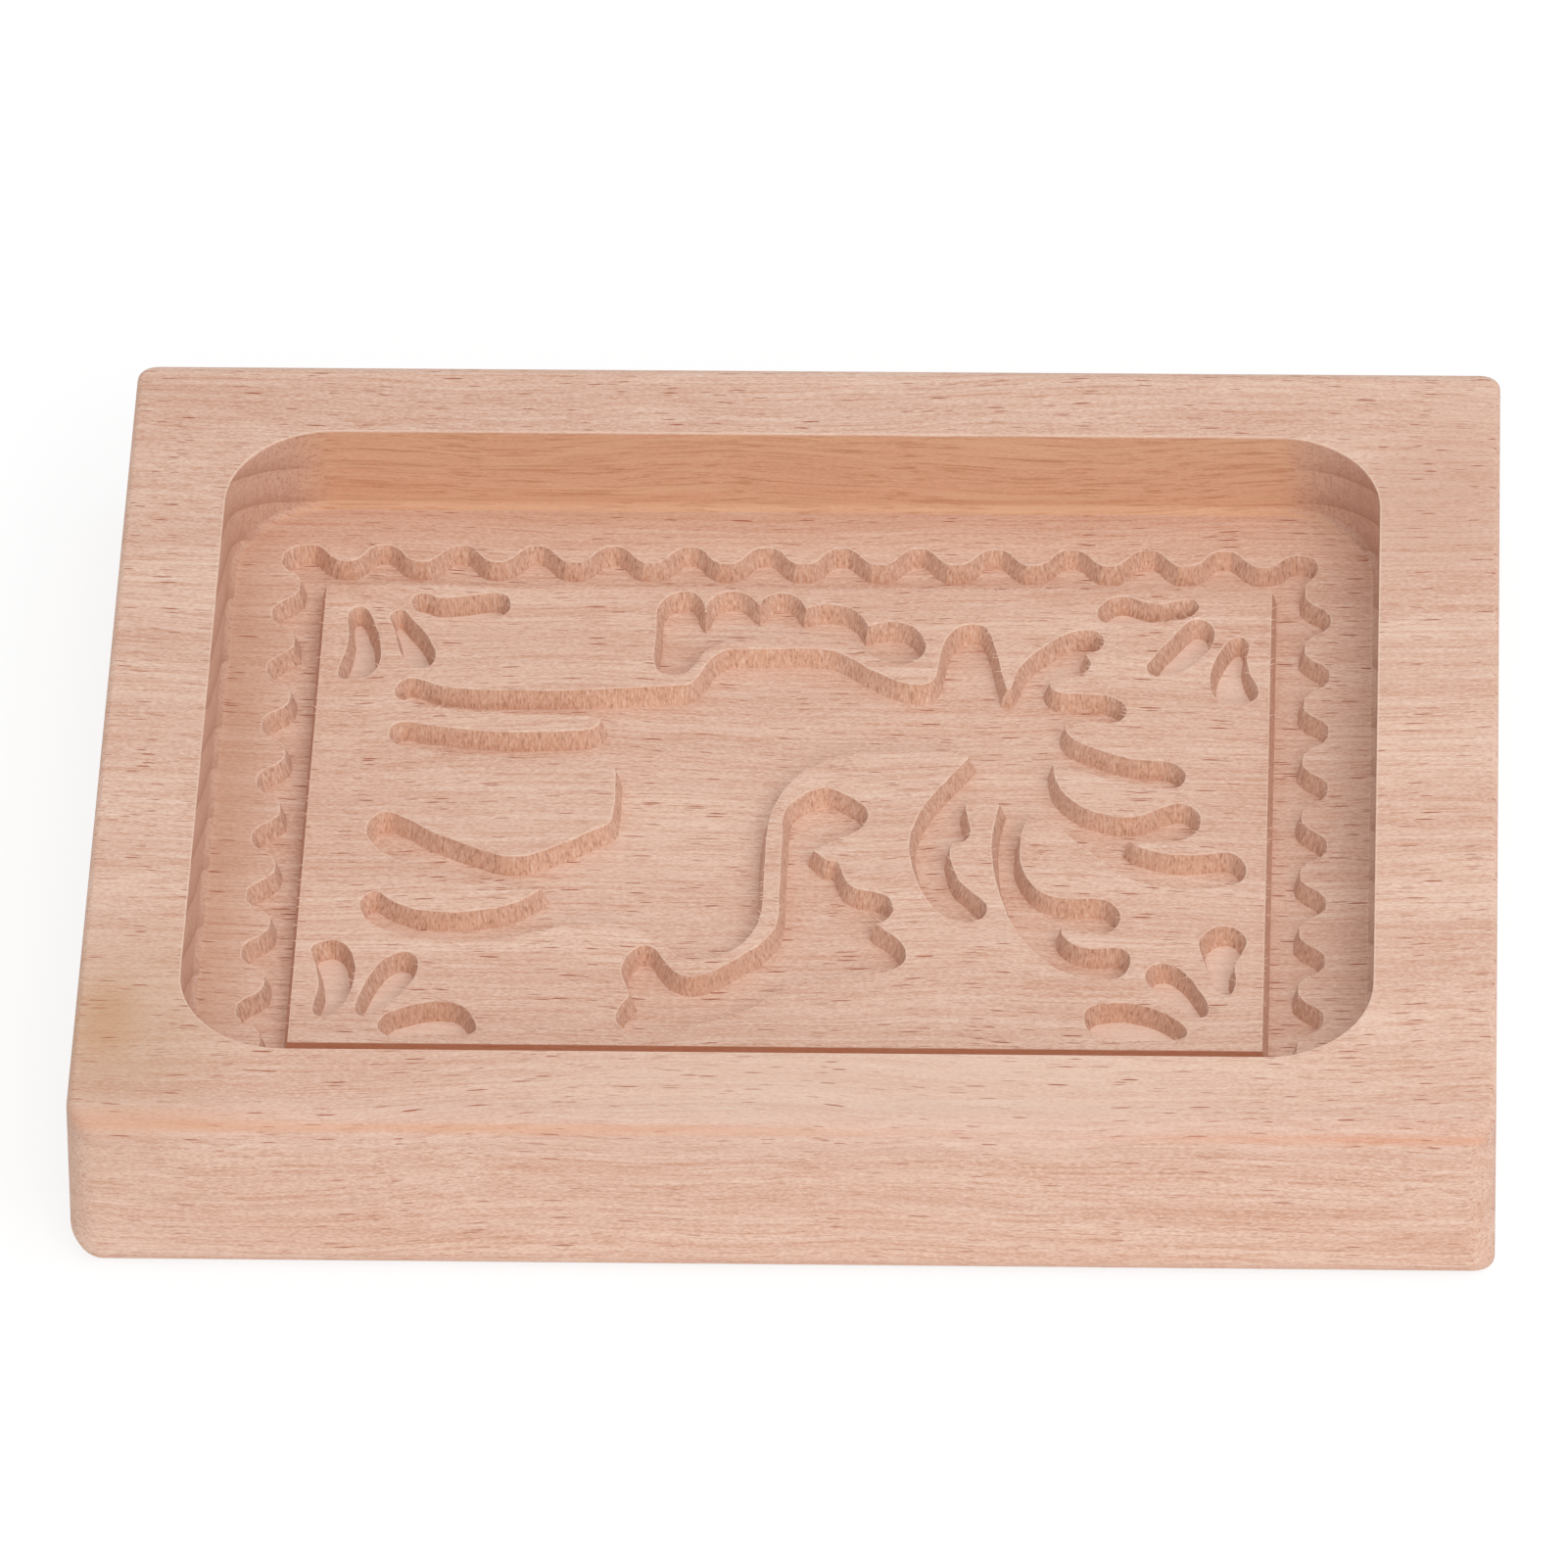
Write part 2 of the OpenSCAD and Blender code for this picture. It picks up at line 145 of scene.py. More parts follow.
# %% Floor and sky
def seen_directly(tree):
    """1 for rays that come from the camera, a gloss or a glass, and 0 for light."""
    path = add_node(tree, "ShaderNodeLightPath")
    total = path.outputs["Is Camera Ray"]
    for name in ("Is Glossy Ray", "Is Transmission Ray"):
        total = add_node(tree, "ShaderNodeMath", {"operation": "MAXIMUM"},
                         {0: total, 1: path.outputs[name]}).outputs[0]
    return total


sky = bpy.data.worlds.new("white studio")
sky.use_nodes = True
sky.node_tree.nodes.clear()
sky_strength, paper_glow, paper_share = 0.61, 1.09, 0.74
strength = add_node(sky.node_tree, "ShaderNodeMapRange", {}, {
    "Value": seen_directly(sky.node_tree), "To Min": sky_strength, "To Max": 1.0})
background = add_node(sky.node_tree, "ShaderNodeBackground", {}, {
    "Color": (1, 1, 1, 1), "Strength": strength.outputs[0]})
add_node(sky.node_tree, "ShaderNodeOutputWorld", {}, {"Surface": background.outputs[0]})
bpy.context.scene.world = sky

paper = bpy.data.materials.new("matt white paper")
paper.use_nodes = True
paper.node_tree.nodes.clear()
sheet_colour = add_node(paper.node_tree, "ShaderNodeBsdfDiffuse", {}, {"Color": linear("#f4f4f4")})
glow = add_node(paper.node_tree, "ShaderNodeEmission", {}, {
    "Color": (1, 1, 1, 1), "Strength": paper_glow})
mixed = add_node(paper.node_tree, "ShaderNodeMath", {"operation": "MULTIPLY"},
                 {0: seen_directly(paper.node_tree), 1: paper_share})
blend = add_node(paper.node_tree, "ShaderNodeMixShader", {}, {
    0: mixed.outputs[0], 1: sheet_colour.outputs[0], 2: glow.outputs[0]})
add_node(paper.node_tree, "ShaderNodeOutputMaterial", {}, {"Surface": blend.outputs[0]})

# a hair's breadth below the block, so that the two surfaces never share one plane
bpy.ops.mesh.primitive_plane_add(size=6, location=(0, 0, mm(-0.02)))
table = bpy.context.object
table.name = "table"
table.data.materials.append(paper)
print("white table and sky, the sky lights at", sky_strength)

# %% [markdown]
# Soft light has to come from something large. The sky gives more than half
# of it. One wide panel hangs low over the near right corner, so that corner
# is a little brighter than the far left one, as in the photograph. A second
# panel at the front right keeps the front of the block as bright as its top.
# The walls of the tray glow by light that bounces off the wood.

# %% Lamps
def soft_panel(name, place, aim, size, watts):
    """A square lamp of that size in metres, turned towards a point."""
    data = bpy.data.lights.new(name, "AREA")
    data.shape = "SQUARE"
    data.size = size
    data.energy = watts
    lamp = bpy.data.objects.new(name, data)
    lamp.location = place
    lamp.rotation_euler = (Vector(aim) - Vector(place)).to_track_quat("-Z", "Y").to_euler()
    bpy.context.scene.collection.objects.link(lamp)
    return lamp


overhead = soft_panel("overhead panel", (0.26, -0.18, 0.62), (0, 0, 0.01), 0.6, 1.25)
front_fill = soft_panel("front panel", (0.42, -0.95, 0.75), (0, 0, 0.01), 0.8, 4.6)
bpy.context.scene.view_settings.view_transform = "Standard"
print("overhead", overhead.data.energy, "W, front", front_fill.data.energy, "W")

# %% [markdown]
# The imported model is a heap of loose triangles, which is fine for measuring
# but not for finishing: neighbours don't share corners, so nothing can tell
# where an edge runs. The finished piece is made from a copy, kept as plain
# lists in millimetres: the corners, and the three corner numbers of each
# triangle. A KD-tree finds the corners that lie in the same spot and gives
# them one number. The original stays untouched, hidden behind the piece.

# %% One list of corners
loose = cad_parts["mould"].data
spots = [1000 * v.co for v in loose.vertices]
tree = KDTree(len(spots))
for number, spot in enumerate(spots):
    tree.insert(spot, number)
tree.balance()

same_spot = 0.004                          # mm, less than any real feature
first_here, corners = {}, []
for number, spot in enumerate(spots):
    if number not in first_here:
        corners.append(spot.copy())
        for _, other, _ in tree.find_range(spot, same_spot):
            first_here.setdefault(other, len(corners) - 1)
triangles = [tuple(first_here[i] for i in t.vertices) for t in loose.polygons]
triangles = [t for t in triangles if len(set(t)) == 3]
print(len(spots), "loose corners are", len(corners), "corners of", len(triangles), "triangles")

# %% [markdown]
# The long edges of the board were rounded first, with a moulding cutter. The
# board was then cut to length, and fine paper only took the sharpness off the
# two ends: in the photograph they look crisp, while the solid has one radius
# all round. A rounded edge is a quarter of a circle, so shrinking it towards
# the sharp edge it replaces gives a smaller radius, and the flat faces follow.
# Round the upright corners the shrinking fades from the end to the long side.
# The lowest corner at the near left is the exception: a knock or a thumb has
# worn it rounder than the cutter left it, so there the radius grows instead.
# The left end also leans in by a third of a millimetre at the top, as a saw
# that isn't quite square leaves it, and a bit more at the near corner.

# %% Crisper ends
half_length, half_width, thickness = (1000 * abs(cad_box[1][k]) for k in range(3))
corner_radius, edge_radius, end_radius, worn_radius = 3.4, 3.1, 0.9, 4.4
crisper = 0
for corner in corners:
    depth = min(corner.z, thickness - corner.z)               # below the top or above the bottom
    over_x = abs(corner.x) - (half_length - corner_radius)
    over_y = max(0.0, abs(corner.y) - (half_width - corner_radius))
    outward = Vector((max(over_x, 0.0), over_y))
    inward = corner_radius - outward.length                   # how far inside the upright walls
    if over_x <= 0 or depth > edge_radius + 0.01 or inward > edge_radius + 0.01:
        continue
    facing_end = (outward.x / outward.length) ** 2
    worn = corner.x < 0 and corner.y < 0 and corner.z < thickness / 2
    shrink = 1 + ((worn_radius if worn else end_radius) / edge_radius - 1) * facing_end
    out = outward.normalized() * (corner_radius - inward * shrink)
    if worn and over_y > 0:
        out = outward.normalized() * max(0.1, corner_radius - inward * shrink)
    corner.x = math.copysign(half_length - corner_radius + out.x, corner.x)
    if over_y > 0:
        corner.y = math.copysign(half_width - corner_radius + out.y, corner.y)
    corner.z = depth * shrink if corner.z < thickness / 2 else thickness - depth * shrink
    crisper += 1
lean, near_lean, lean_from, lean_over = 0.32, 0.20, 4.0, 8.0
for corner in corners:
    if corner.x < corner_radius - half_length + 0.01 and corner.z > lean_from:
        share = min(1.0, (corner.z - lean_from) / lean_over)
        corner.x += share * (lean + (near_lean if corner.y < corner_radius - half_width else 0.0))
print(crisper, "corners moved, the ends now have a radius of", end_radius, "mm")

# %% [markdown]
# A cutter follows its line only as well as the wood lets it. Hard and soft
# fibres push it about, so the outlines of the carving waver by a tenth of a
# millimetre. A smooth noise of X and Y moves each corner of the carving
# sideways. The top and the bottom of a wall move together, so the walls stay
# whole, and the rest of the block is left alone.

# %% Wavering outlines
tray_floor, top_face, deepest_cut = 11.0, 22.0, 6.0
carved_reach = (58.2, 43.4)                # half the length and width of the carved part
waver, waver_length = 0.12, 1.7
noise.seed_set(7)                          # without it each run would waver differently
moved = 0
for corner in corners:
    if deepest_cut < corner.z < tray_floor + 0.02 and abs(corner.x) < carved_reach[0] \
            and abs(corner.y) < carved_reach[1]:
        push = noise.noise_vector(Vector((corner.x, corner.y, 0)) / waver_length)
        corner.x += waver * push.x
        corner.y += waver * push.y
        moved += 1
print(moved, "corners of the carving moved by up to", waver, "mm")

# %% [markdown]
# No cut edge in wood is a perfect line. A blade leaves a tiny burr, and a
# quick rub with fine paper rounds it. On this mould the edge of the tray and
# the edges of the carving show as a thin pale line for just that reason. A
# real rounding catches the light in the same way from every side, which a
# painted line would not. Blender's Bevel would do for a plain box, but the
# carving has narrow tips where it folds over itself, so the rounding is built
# by hand. All these edges lie in a flat face, the tray's floor or the top, so
# the first step is to walk round that face's border.

# %% The borders of a flat face
level_slack = 0.01                         # mm, heights this close are the same


def direction(t):
    """The direction that a triangle faces."""
    a, b, c = (corners[i] for i in t)
    return (b - a).cross(c - a).normalized()


def borders(height):
    """The flat triangles at a height, and the closed borders round them, with the face on the left."""
    flat = [t for t in triangles if all(abs(corners[i].z - height) < level_slack for i in t)]
    steps = [(t[k], t[(k + 1) % 3]) for t in flat for k in range(3)]
    known = set(steps)
    after = {a: b for a, b in steps if (b, a) not in known}
    rings = []
    while after:
        ring = [min(after)]
        while ring[-1] in after:
            ring.append(after.pop(ring[-1]))
        rings.append(ring[:-1])
    return flat, rings


def links_round(rings):
    """The pairs of neighbours along closed rings, counted through one ring after another."""
    links, base = [], 0
    for ring in rings:
        links += [(base + k, base + (k + 1) % len(ring)) for k in range(len(ring))]
        base += len(ring)
    return links


for height in (tray_floor, top_face):
    flat, rings = borders(height)
    print("at", height, "mm:", len(flat), "triangles and", len(rings), "borders")

# %% [markdown]
# Then each border is pulled back into the face by the width of the rounding.
# Not every edge wants one: a wall that drops away steeply does, while the
# foot of the tray's wall and the round outside of the block don't, so those
# borders get no width and stay where they are.

# %% Borders pulled back into the face
def falls_away(ring, height, beyond):
    """Whether most walls beyond a border drop away steeply."""
    walls = [beyond[(ring[(k + 1) % len(ring)], ring[k])] for k in range(len(ring))]
    steep = [direction(t).z < 0.7 and min(corners[i].z for i in t) < height - level_slack
             for t in walls]
    return sum(steep) > len(ring) / 2


def beside(ring, widths):
    """The ring's corners pulled to the left, into the flat face."""
    pulled = []
    for k, number in enumerate(ring):
        here = corners[number].xy
        back = (here - corners[ring[k - 1]].xy).normalized()
        ahead_of = (corners[ring[(k + 1) % len(ring)]].xy - here).normalized()
        left = Vector((-back.y - ahead_of.y, back.x + ahead_of.x)).normalized()
        squareness = max(0.6, left.dot(Vector((-back.y, back.x))))
        pulled.append((here + left * widths[k] / squareness, left))
    return pulled


print("edges steeper than", round(math.degrees(math.acos(0.7))), "degrees are rounded")

# %% [markdown]
# The face is filled again with a Delaunay triangulation, which Blender offers
# for flat shapes. At a narrow tip two borders can cross. Delaunay reports
# each crossing as a new point, so the rounding is made narrower near it and
# the face is filled again, until nothing crosses. Delaunay fills the pockets
# too, and only the triangles that the borders wind round once are kept.

# %% The face filled again
most_tries, crossing_reach = 12, 0.8       # reach in mm


def inside(centres, starts, ends):
    """Whether the borders wind once round each centre, as they do within the face."""
    turns = np.zeros(len(centres))
    for a, b in zip(starts, ends):
        va, vb = a - centres, b - centres
        turns += np.arctan2(va[:, 0] * vb[:, 1] - va[:, 1] * vb[:, 0], (va * vb).sum(1))
    return turns / (2 * np.pi) > 0.5


def refill(rings, widths):
    """Pulls the borders back and fills the face between them, in numbers counted along the rings."""
    links = links_round(rings)
    for attempt in range(most_tries):
        pulled = [beside(ring, w) for ring, w in zip(rings, widths)]
        points = [spot for ring in pulled for spot, _ in ring]
        new_spots, _, new_faces, origins = delaunay_2d_cdt(points, links, [], 0, 1e-6, True)[:4]
        crossings = [spot for spot, origin in zip(new_spots, origins) if len(origin) != 1]
        if not crossings:
            break
        for ring, w in zip(rings, widths):
            for k, number in enumerate(ring):
                if any((corners[number].xy - spot).length < crossing_reach for spot in crossings):
                    w[k] *= 0.5
    filled = np.array([[origins[i][0] for i in face] for face in new_faces])
    flat = np.array([list(spot) for spot in points])
    starts, ends = (flat[[pair[side] for pair in links]] for side in (0, 1))
    within = inside(flat[filled].mean(1), starts, ends)
    print("filled after", attempt + 1, "tries,", len(crossings), "crossings left")
    return pulled, filled[within].tolist()


print("the rounding is halved within", crossing_reach, "mm of a crossing")

# %% [markdown]
# The old border now slides down its wall, and a middle row of corners between
# it and the pulled border makes the edge round. The rounding is a tenth of a
# millimetre wide on the carving and a fifth on the tray, and a slow noise
# makes it wander. The walls of the carving lean, and the lean carries the
# lower row sideways, so that it stays on its wall.

# %% Rounded edges
def round_edges(height, width, lean):
    """Rounds the falling edges of a flat face; returns all triangles, the narrow faces and the rims."""
    flat, rings = borders(height)
    gone = set(flat)
    kept = [t for t in triangles if t not in gone]
    beyond = {(t[k], t[(k + 1) % 3]): t for t in kept for k in range(3)}
    falling = [falls_away(ring, height, beyond) for ring in rings]
    widths = [[width * (1 + 0.5 * noise.noise(corners[i] / 2.5)) if falls else 0.0 for i in ring]
              for ring, falls in zip(rings, falling)]
    pulled, fill = refill(rings, widths)
    numbers, narrow, rims = [], [], []
    for ring, sides, w, falls in zip(rings, pulled, widths, falling):
        if not falls:
            numbers += ring
            continue
        outer, middle = [], []
        for number, (spot, left), wide in zip(ring, sides, w):
            old = corners[number].copy()
            rim = Vector((spot.x, spot.y, height))
            down = old - Vector((left.x * lean * wide, left.y * lean * wide, wide))
            between = (rim + down) / 2
            corners.append(rim)
            corners.append(between + (old - between) * 0.45)
            outer.append(len(corners) - 2)
            middle.append(len(corners) - 1)
            corners[number] = down
        numbers += outer
        rims.append(outer)
        for k in range(len(ring)):
            n = (k + 1) % len(ring)
            narrow += [(outer[n], outer[k], middle[k], middle[n]), (middle[n], middle[k], ring[k], ring[n])]
    print("at", height, "mm:", sum(falling), "of", len(rings), "borders rounded")
    return kept + [tuple(numbers[i] for i in t) for t in fill], narrow, rims


triangles, carving_edges, carving_rims = round_edges(tray_floor, 0.11, 0.27)
triangles, tray_edges, _ = round_edges(top_face, 0.20, 0.0)
print(len(triangles), "triangles and", len(carving_edges) + len(tray_edges), "narrow faces")

# %% [markdown]
# Now the lists become a mesh, with walls shaded smooth and cut edges sharp
# where they turn by more than 30 degrees. A Weighted Normal modifier lets
# the large flat faces decide the shading at their borders, so the rims stay
# perfectly flat beside the rounded corners.

# %% The mould as one piece
sharp_from, flat_weight = math.radians(30), 80
faces = triangles + carving_edges + tray_edges
mould_mesh = bpy.data.meshes.new("mould_wood")
mould_mesh.from_pydata([mm(c) for c in corners], [], faces)
mould_mesh.shade_smooth()
mould_mesh.set_sharp_from_angle(angle=sharp_from)
mould = bpy.data.objects.new("mould_wood", mould_mesh)
bpy.context.scene.collection.objects.link(mould)
weighting = mould.modifiers.new("flat faces lead", "WEIGHTED_NORMAL")
weighting.keep_sharp = True
weighting.weight = flat_weight
finished = bpy.data.meshes.new_from_object(
    mould.evaluated_get(bpy.context.evaluated_depsgraph_get()))
mould.modifiers.clear()
mould.data = finished
uses = {}
for face in faces:
    for k in range(len(face)):
        pair = tuple(sorted((face[k], face[(k + 1) % len(face)])))
        uses[pair] = uses.get(pair, 0) + 1
print("the mould has", len(finished.polygons), "faces and",
      sum(n != 2 for n in uses.values()), "edges that aren't shared by two")

# %% [markdown]
# Each surface was made by a different tool, and it shows. The outside was planed and sanded. The walls of
# the tray were milled, and the walls of the carving were cut across the fibres, which leaves them darker and
# furry. The long straight wall at the near side was cut in one pass along the grain and is smooth; it lies
# deep between the rim and the panel, and painted shade makes it a darker orange brown. The floors of the
# small leaves are smooth and pinker, and painted light makes them the palest spots of all, against the shade
# in those small pockets. These differences can't be read from the wood's own pattern, so each face carries a
# number for how it was cut and for the painted light and shade on it, which the material reads by name.

# %% How each face was cut, and where light and shade are painted
tray_reach = (64.5, 50.5)                  # a little outside the tray's walls
leaf_x, leaf_y, leaf_slope = (30, 52), 37, 62   # where the leaves lie, in the four corners
near_wall_shade_y = -36                           # the long near wall, which gets painted shade, lies nearer than this
cuts = {name: [0.0] * len(faces)
        for name in ("carved_wall", "leaf_floor_painted_light", "milled_wall", "near_wall_painted_shade", "burr")}
for number, face in enumerate(finished.polygons):
    middle = 1000 * face.center
    off_x, off_y = abs(middle.x), abs(middle.y)
    in_tray = off_x < tray_reach[0] and off_y < tray_reach[1]
    in_leaves = leaf_x[0] < off_x < leaf_x[1] and leaf_slope - off_x < off_y < leaf_y
    if number >= len(triangles):
        cuts["burr"][number] = 1.0
    elif in_tray and deepest_cut < middle.z < tray_floor - 0.05 and face.normal.z < 0.8:
        # the long near wall is marked for painted shade
        straight = face.normal.y < -0.95 and middle.y < near_wall_shade_y
        cuts["near_wall_painted_shade" if straight else "carved_wall"][number] = 1.0
    # leaf floors are marked for painted light, more where they face up
    elif middle.z < tray_floor - 0.05 and in_leaves:
        cuts["leaf_floor_painted_light"][number] = max(0.0, face.normal.z)
    elif in_tray and tray_floor + 0.05 < middle.z < top_face - 0.05:
        cuts["milled_wall"][number] = 1.0 if face.normal.z < 0.97 else 0.0
for name, values in cuts.items():
    finished.attributes.new(name, "FLOAT", "FACE").data.foreach_set("value", values)
    print(name, "on", sum(v > 0 for v in values), "faces")

# %% [markdown]
# The wood is beech: close-grained, pinkish tan, and covered in short brown
# flecks. The flecks are rays, thin ribbons of cells that run outwards from
# the heart of the tree, cut across by the saw. Wood is a solid thing, so the
# pattern is built in three dimensions on Object coordinates: the same streak
# runs over the top, over the edge and down the front, as on the real block.
# The grain runs along X. Each pattern is given the length, width and height
# of its features in millimetres, and one vector sum per pattern scales it.

# %% Beech, part 1: where the grain runs
beech = bpy.data.materials.new("sanded beech")
beech.use_nodes = True
wood = beech.node_tree
wood.nodes.clear()

place = add_node(wood, "ShaderNodeTexCoord").outputs["Object"]
in_mm = add_node(wood, "ShaderNodeVectorMath", {"operation": "SCALE"}, {0: place, "Scale": 1000.0})
# fibres swing sideways by a millimetre or so over the length of the board
swing_place = add_node(wood, "ShaderNodeVectorMath", {"operation": "MULTIPLY"},
                       {0: in_mm.outputs[0], 1: (1 / 42, 1 / 26, 1 / 26)})
swing = add_node(wood, "ShaderNodeTexNoise", {}, {
    "Vector": swing_place.outputs[0], "Scale": 1.0, "Detail": 2.0, "Roughness": 0.4})
swing_mm = add_node(wood, "ShaderNodeVectorMath", {"operation": "MULTIPLY_ADD"},
                    {0: swing.outputs["Color"], 1: (0, 6, 6), 2: (0, -3, -3)})
grain = add_node(wood, "ShaderNodeVectorMath", {"operation": "ADD"},
                 {0: in_mm.outputs[0], 1: swing_mm.outputs[0]}).outputs[0]
print("grain along X, swinging up to 3 mm")

# %% [markdown]
# Four layers of plain noise make the ground colour: broad bands, where one
# year's growth is pinker than the next, long stripes under a millimetre wide,
# finer streaks from the vessels, and a very fine grain that the sandpaper
# left, pale and dark side by side.
# The vessels are a twentieth of a millimetre wide, too fine for a picture, so
# that layer is drawn three times as coarse. A year's growth is a layer of
# wood, and here the layers lean, so they show best as slanting bands where
# the fibres end: a slowly wandering sum of Y and Z gives those.

# %% Beech, part 2: bands, years and streaks
ground_patterns = {}
for name, size, detail in (("bands", (85, 8, 5), 2), ("streaks", (19, 0.27, 0.30), 3),
                           ("stripes", (48, 0.75, 0.75), 2), ("fibres", (0.6, 0.13, 0.13), 2)):
    scaled = add_node(wood, "ShaderNodeVectorMath", {"operation": "DIVIDE"}, {0: grain, 1: size})
    ground_patterns[name] = add_node(wood, "ShaderNodeTexNoise", {}, {
        "Vector": scaled.outputs[0], "Scale": 1.0, "Detail": detail,
        "Roughness": 0.6}).outputs["Fac"]

facing = add_node(wood, "ShaderNodeSeparateXYZ", {}, {
    0: add_node(wood, "ShaderNodeTexCoord").outputs["Normal"]})
along_grain = add_node(wood, "ShaderNodeMath", {"operation": "ABSOLUTE"},
                       {0: facing.outputs["X"]}).outputs[0]
year_pitch, year_lean, year_edge, year_strength = 4.2, math.radians(30), 3.0, 0.12
across_years = add_node(wood, "ShaderNodeVectorMath", {"operation": "DOT_PRODUCT"}, {
    0: grain, 1: (0, math.sin(year_lean) / year_pitch, math.cos(year_lean) / year_pitch)})
year_saw = add_node(wood, "ShaderNodeMath", {"operation": "FRACT"}, {0: across_years.outputs["Value"]})
year_rest = add_node(wood, "ShaderNodeMath", {"operation": "SUBTRACT"}, {0: 1.0, 1: year_saw.outputs[0]})
year_line = add_node(wood, "ShaderNodeMath", {"operation": "POWER"},
                     {0: year_rest.outputs[0], 1: year_edge})
year_amount = add_node(wood, "ShaderNodeMath", {"operation": "MULTIPLY"},
                       {0: year_line.outputs[0], 1: year_strength})

pale, pink = linear("#ecc8b2"), linear("#deb49d")
ground = add_node(wood, "ShaderNodeMapRange", {}, {
    "Value": ground_patterns["bands"], "From Min": 0.3, "From Max": 0.7})
colour = add_node(wood, "ShaderNodeMix", {"data_type": "RGBA"}, {
    0: ground.outputs[0], 6: pale, 7: pink}).outputs[2]
colour = add_node(wood, "ShaderNodeMix", {"data_type": "RGBA"}, {
    0: year_amount.outputs[0], 6: colour, 7: linear("#bd8264")}).outputs[2]
for pattern, low, high, strong, tint in (
        (ground_patterns["stripes"], 0.50, 0.72, 0.40, "#ce957b"),
        (ground_patterns["stripes"], 0.48, 0.30, 0.34, "#f4dccc"),
        (ground_patterns["streaks"], 0.51, 0.66, 0.55, "#c68766"),
        (ground_patterns["fibres"], 0.50, 0.70, 0.46, "#b9846c"),
        (ground_patterns["fibres"], 0.50, 0.32, 0.46, "#f6dccb")):
    amount = add_node(wood, "ShaderNodeMapRange", {}, {
        "Value": pattern, "From Min": low, "From Max": high, "To Min": 0.0, "To Max": strong})
    colour = add_node(wood, "ShaderNodeMix", {"data_type": "RGBA"}, {
        0: amount.outputs[0], 6: colour, 7: linear(tint)}).outputs[2]
print("years every", year_pitch, "mm, leaning", round(math.degrees(year_lean)), "degrees")

# %% [markdown]
# No board is one even colour. The block is palest in the middle of its near rim and greyer towards the near
# left corner, which also has a yellowish stain. An orange streak runs along the near edge. Painted shade
# darkens the near rounded edge, where the lamps light it strongly, and the tray's floor along its far and
# left sides, at the foot of the tray's walls. Each of these is a soft spot: the distance to its middle,
# counted in units of its own reach, fades it out.

# %% Beech, part 3: stains and painted shade
stains_and_painted_shade = (            # middle and reach in millimetres, tint, strength
    ((-70, -46, 20), (18, 22, 17), "#bf9979", 0.42),
    ((-71, -45, 22), (5, 9, 5), "#c69160", 0.45),
    ((10, -53, 22), (60, 10, 7), "#ecd0bd", 0.45),
    # painted shade on the near rounded edge, to tone down the light the lamps put on it
    ((0, -58.4, 20.6), (150, 4.0, 4.0), "#ccaa9b", 0.40),
    ((-66, -59.0, 21.1), (20, 2.4, 2.4), "#d3946f", 0.36),
    ((-30, -59.3, 20.8), (70, 0.9, 0.9), "#dc9f78", 0.48),
    ((62, -59.4, 20.4), (40, 0.9, 0.9), "#d9936e", 0.45),
    ((68, 38, 22), (14, 18, 8), "#ce9d85", 0.42),
    # painted shade on the tray's floor at the foot of its far and left walls
    ((-10, 50.5, 11), (160, 10, 2.5), "#bf8f71", 0.50),
    ((-63.5, 0, 11), (9, 110, 1.5), "#bf8f71", 0.42))
for centre, reach, tint, strong in stains_and_painted_shade:
    apart = add_node(wood, "ShaderNodeVectorMath", {"operation": "SUBTRACT"},
                     {0: in_mm.outputs[0], 1: centre})
    in_reaches = add_node(wood, "ShaderNodeVectorMath", {"operation": "DIVIDE"},
                          {0: apart.outputs[0], 1: reach})
    far_off = add_node(wood, "ShaderNodeVectorMath", {"operation": "LENGTH"},
                       {0: in_reaches.outputs[0]})
    amount = add_node(wood, "ShaderNodeMapRange", {"interpolation_type": "SMOOTHSTEP"}, {
        "Value": far_off.outputs["Value"], "From Min": 1.0, "From Max": 0.15, "To Max": strong})
    colour = add_node(wood, "ShaderNodeMix", {"data_type": "RGBA"}, {
        0: amount.outputs[0], 6: colour, 7: linear(tint)}).outputs[2]
print(len(stains_and_painted_shade), "soft spots")

# %% [markdown]
# The flecks come from a Voronoi texture. It scatters one point in each cell,
# and the distance to the nearest point is small only close to it. In cells
# that are stretched along the grain, a small threshold gives spindles: 1 to
# 3 mm long and a fifth of a millimetre wide. Two sets, a coarse and a fine
# one, keep the eye from finding a rhythm. The cell's own random colour
# makes some flecks strong and leaves others out.

# %% Beech, part 4: ray flecks
flecks = []
for cell, radius, least, most in (((7.6, 0.52, 0.62), 0.19, 0.10, 1.25),
                                  ((5.2, 0.38, 0.48), 0.21, 0.22, 0.95)):
    scaled = add_node(wood, "ShaderNodeVectorMath", {"operation": "DIVIDE"}, {0: grain, 1: cell})
    spots = add_node(wood, "ShaderNodeTexVoronoi", {}, {
        "Vector": scaled.outputs[0], "Scale": 1.0, "Randomness": 1.0})
    near = add_node(wood, "ShaderNodeMapRange", {}, {
        "Value": spots.outputs["Distance"], "From Min": radius, "From Max": radius * 0.6})
    luck = add_node(wood, "ShaderNodeSeparateColor", {}, {0: spots.outputs["Color"]})
    strength = add_node(wood, "ShaderNodeMapRange", {}, {
        "Value": luck.outputs[0], "From Min": least, "From Max": 1.0, "To Max": most})
    flecks.append(add_node(wood, "ShaderNodeMath", {"operation": "MULTIPLY"},
                           {0: near.outputs[0], 1: strength.outputs[0]}).outputs[0])
either = add_node(wood, "ShaderNodeMath", {"operation": "MAXIMUM"}, {0: flecks[0], 1: flecks[1]})
